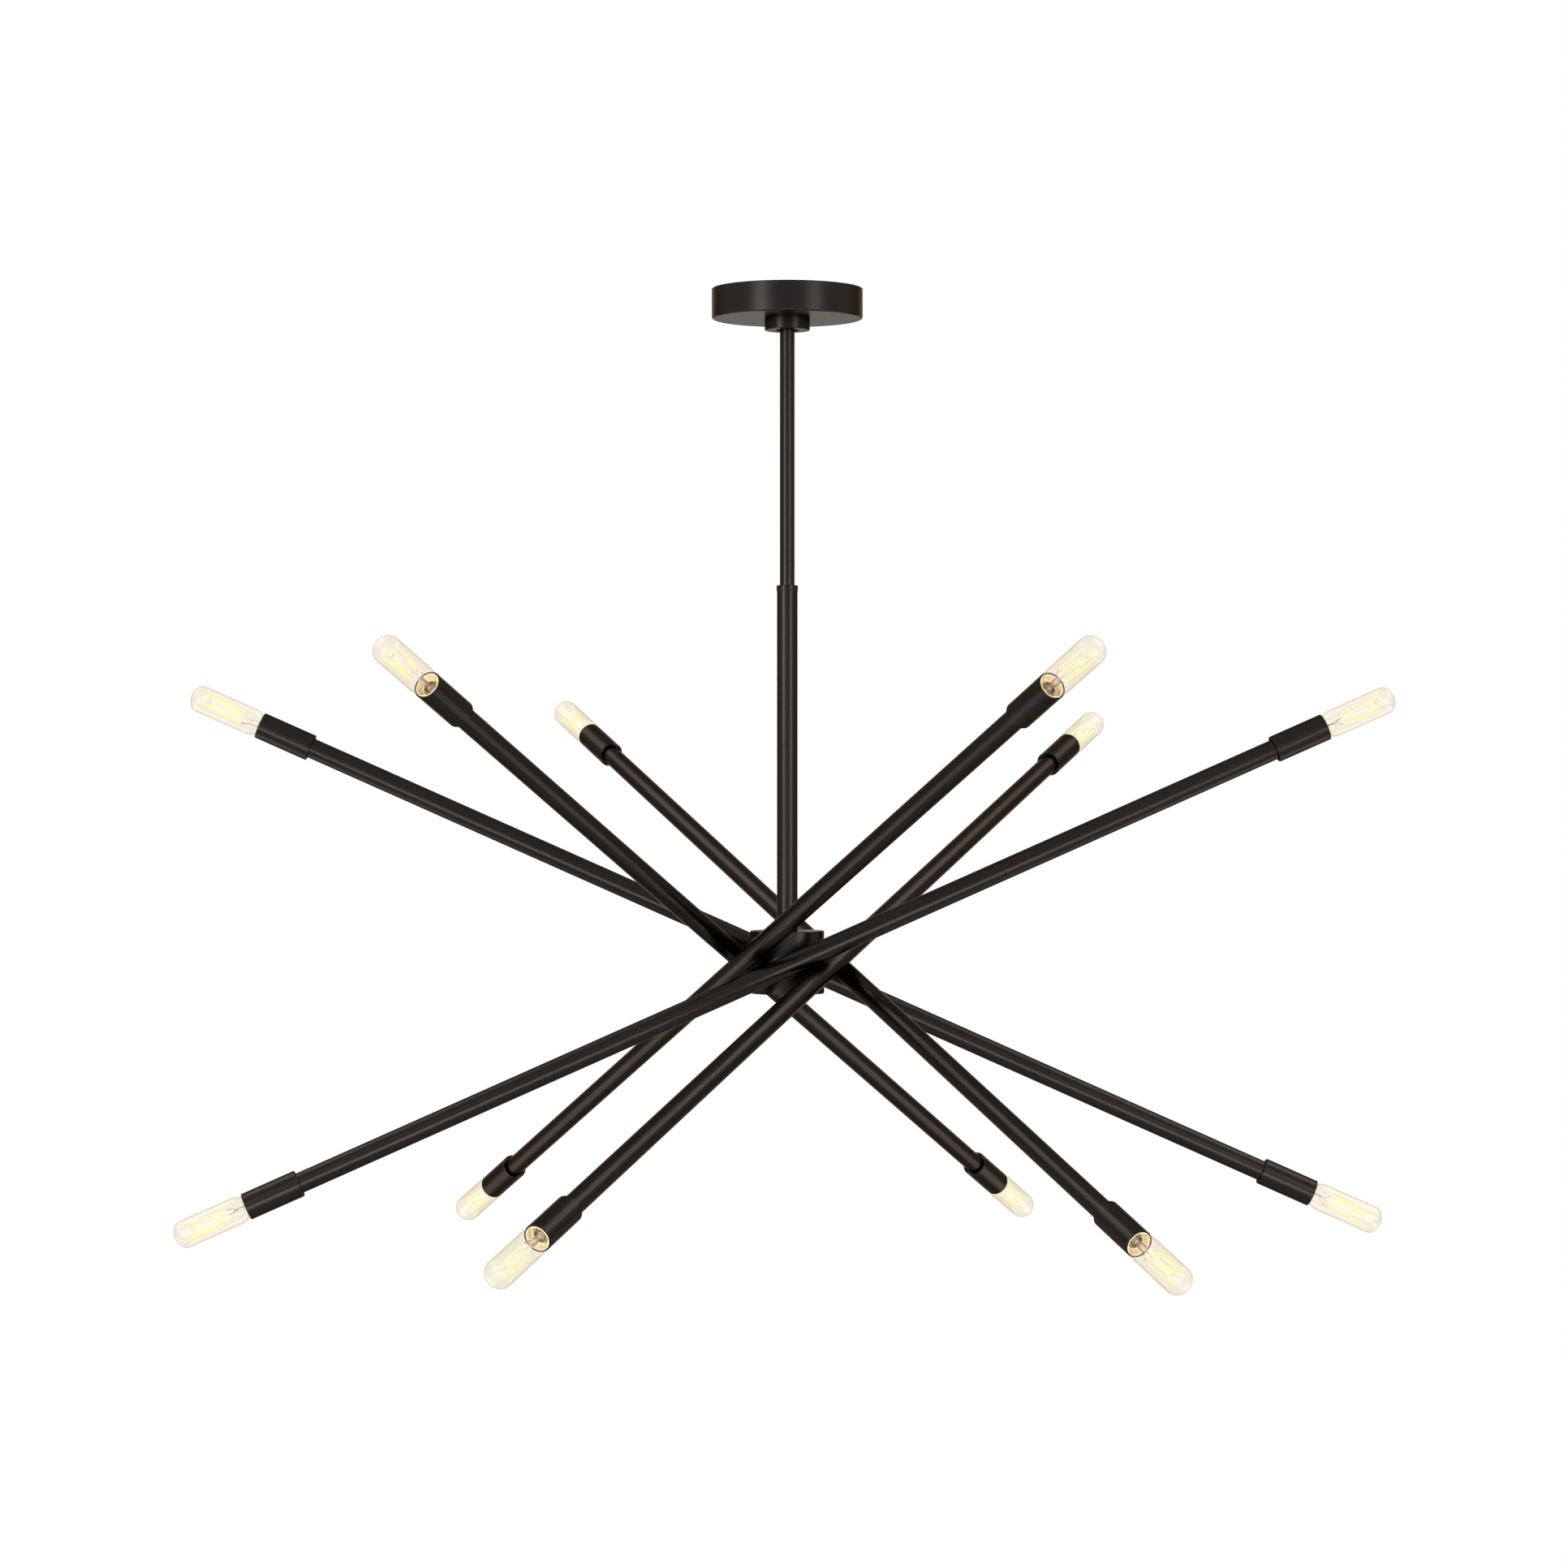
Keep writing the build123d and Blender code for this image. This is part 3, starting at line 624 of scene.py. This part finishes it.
wires = {
    "coilRadius": 0.36 * mm,
    "strands": 8,
    "lowRing": (5.6 * mm, 16.5 * mm),    # radius and height of the lower hooks
    "topRing": (6.6 * mm, 52.5 * mm),    # and of the upper ones
    "ringStart": 0.25,       # steps from the ring's start to the first hook
    "ringGap": 1.5,          # steps that stay free between the filament's two ends
    "bow": 0.9 * mm,
    "leadRadius": 0.22 * mm,
    "leadFoot": (1.2 * mm, 3.0 * mm),        # distance from the axis, and height above the stem's foot
    "leadExit": (2.0 * mm, -3.0 * mm),       # distance from the axis, and height from the pinch's end
    "leadKink": 0.9,                         # where it starts to bend, as a share of the exit's place
    "leadBend": (0.7, 2.5 * mm),             # share of the hook's distance, and height above the exit
    "hookRadius": 0.12 * mm,
    "hookBend": (0.55, 0.35),                # shares of the way out and of the way up or down
    "hookReach": 0.9 * mm,                   # how far a hook goes past the filament
    "hookRoot": 0.5 * mm,                    # height of the lower hooks' root above the pinch
    "roundSteps": 2,
    "curveSteps": 6,
}


def makeWire(name, routes, radius, placement, material):
    # Round wires along routes of points, as one mesh
    curve = bpy.data.curves.new(name, "CURVE")
    curve.dimensions = "3D"
    curve.bevel_depth = radius
    curve.bevel_resolution = wires["roundSteps"]
    curve.resolution_u = wires["curveSteps"]
    curve.use_fill_caps = True
    for route in routes:
        spline = curve.splines.new("NURBS")
        spline.points.add(len(route) - 1)
        for point, place in zip(spline.points, route):
            point.co = (placement @ Vector(place)).to_4d()
        spline.order_u = 3
        spline.use_endpoint_u = True
    holder = bpy.data.objects.new(name, curve)
    bpy.context.scene.collection.objects.link(holder)
    data = bpy.data.meshes.new_from_object(holder)
    bpy.data.objects.remove(holder)
    data.name = name
    return addPiece(name, data, material)


def hookPoint(values, i):
    # Bend number i of the filament; the even ones are on the lower ring of hooks, the odd ones on the upper
    radius, height = values["topRing"] if i % 2 else values["lowRing"]
    angle = (i + values["ringStart"]) / (values["strands"] + values["ringGap"]) * math.tau
    return Vector((radius * math.cos(angle), radius * math.sin(angle), height))


def makeFilament(name, values, placement):
    # Zigzag between the lower and the upper hooks, each strand bowed a little outwards
    route = []
    for i in range(values["strands"]):
        hook, far = hookPoint(values, i), hookPoint(values, i + 1)
        middle = (hook + far) / 2
        outwards = Vector((middle.x, middle.y, 0)).normalized() * values["bow"]
        route += [hook, hook, middle + outwards]
    route += [far, far]
    return makeWire(name, [route], values["coilRadius"], placement, litTungsten)


def makeLeads(name, values, placement):
    # Two lead wires from the pinch to the ends of the filament
    footOut, footUp = values["leadFoot"]
    exitOut, exitUp = values["leadExit"]
    bendShare, bendUp = values["leadBend"]
    exitHeight = lampStem["pinchEnd"] + exitUp
    routes = []
    for side, i in ((-1, 0), (1, values["strands"])):
        end = hookPoint(values, i)
        start = Vector((side * exitOut, 0, exitHeight))
        below = Vector((side * footOut, 0, bulb["neckEnd"] + footUp))
        bend = Vector((end.x * bendShare, end.y * bendShare, exitHeight + bendUp))
        routes.append([below, start * values["leadKink"], start, bend, end])
    return makeWire(name, routes, values["leadRadius"], placement, copperWire)


def makeHooks(name, values, placement):
    # Fine wires from the rod's button and from the pinch, each hooked round a bend of the filament
    bendOut, bendUp = values["hookBend"]
    routes = []
    for i in range(1, values["strands"]):
        hook = hookPoint(values, i)
        if i % 2:
            root, reach = lampStem["rodTop"], values["hookReach"]
        else:
            root, reach = lampStem["pinchEnd"] + values["hookRoot"], -values["hookReach"]
        bend = Vector((hook.x * bendOut, hook.y * bendOut, root + (hook.z - root) * bendUp))
        routes.append([Vector((0, 0, root)), bend, hook + Vector((0, 0, reach)), hook])
    return makeWire(name, routes, values["hookRadius"], placement, hookMetal)


bulbRoll = 47    # degrees from one bulb to the next, so that they show different sides

bulbJoints = [joint for joint in frame["joints"] if joint["name"].endswith("_screw")]
for index, joint in enumerate(bulbJoints):
    body = joint["child"]
    outwards = Vector(joint["axis"])
    placement = (Matrix.Translation(joint["pos_m"])
                 @ outwards.to_track_quat("Z", "Y").to_matrix().to_4x4()
                 @ Matrix.Rotation(math.radians(bulbRoll * index), 4, "Z"))
    envelope = makeEnvelope(f"{body}_envelope", bulb, placement)
    stem = makeLampStem(f"{body}_lamp_stem", lampStem, placement)
    coil = makeFilament(f"{body}_filament", wires, placement)
    leads = makeLeads(f"{body}_lead_wires", wires, placement)
    hooks = makeHooks(f"{body}_filament_hooks", wires, placement)
    cementPiece = makeCollar(f"{body}_basing_cement", collar, placement)
    for piece in (envelope, stem, coil, leads, hooks, cementPiece):
        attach(piece, body)
    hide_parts(f"{body}_glass")
print("bulbs made:", len(bulbJoints))
